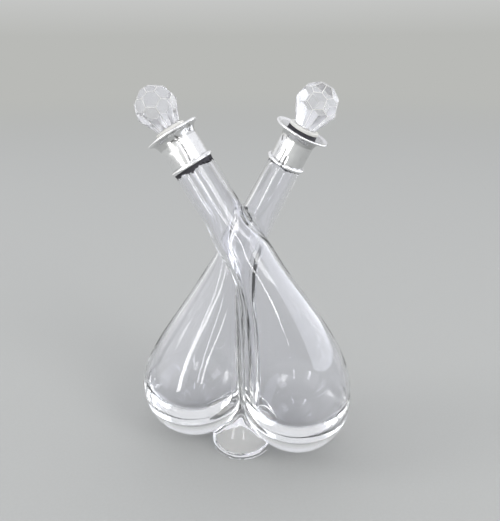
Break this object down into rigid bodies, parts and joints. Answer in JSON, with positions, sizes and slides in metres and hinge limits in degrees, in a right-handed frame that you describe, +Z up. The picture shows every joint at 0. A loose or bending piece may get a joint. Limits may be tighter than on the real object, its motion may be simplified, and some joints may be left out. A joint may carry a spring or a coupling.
{
  "type": "oil and vinegar cruet",
  "caption": "Two fused clear glass teardrop bottles with crossed necks on one small glass foot, each with a silver collar and a lift-out cut glass ball stopper.",
  "frame": {"origin": "on the table, where the seam between the two bottles would meet it", "axes": "+Z up the seam, +X towards the front bottle's bulb, -Y towards the side on which the front bottle's neck passes"},
  "size_m": [0.1279, 0.064, 0.2151],
  "materials": {
    "blown_glass": "clear fire-polished",
    "silver": "polished, dented and worn",
    "bedding_cement": "aged, matt",
    "cut_glass": "cut and polished"
  },
  "bodies": {
    "root": {"twin_bottle": "blown_glass", "front_collar": "silver", "back_collar": "silver", "front_cement": "bedding_cement", "back_cement": "bedding_cement"},
    "front_stopper": {"front_stopper": "cut_glass"},
    "back_stopper": {"back_stopper": "cut_glass"}
  },
  "joints": [
    {"name": "front_stopper_lift", "type": "slide", "parent": "root", "child": "front_stopper", "axis": [-0.5344, 0, 0.8453], "range_m": [0, 0.02]},
    {"name": "back_stopper_lift", "type": "slide", "parent": "root", "child": "back_stopper", "axis": [0.454, 0, 0.891], "range_m": [0, 0.02]}
  ]
}
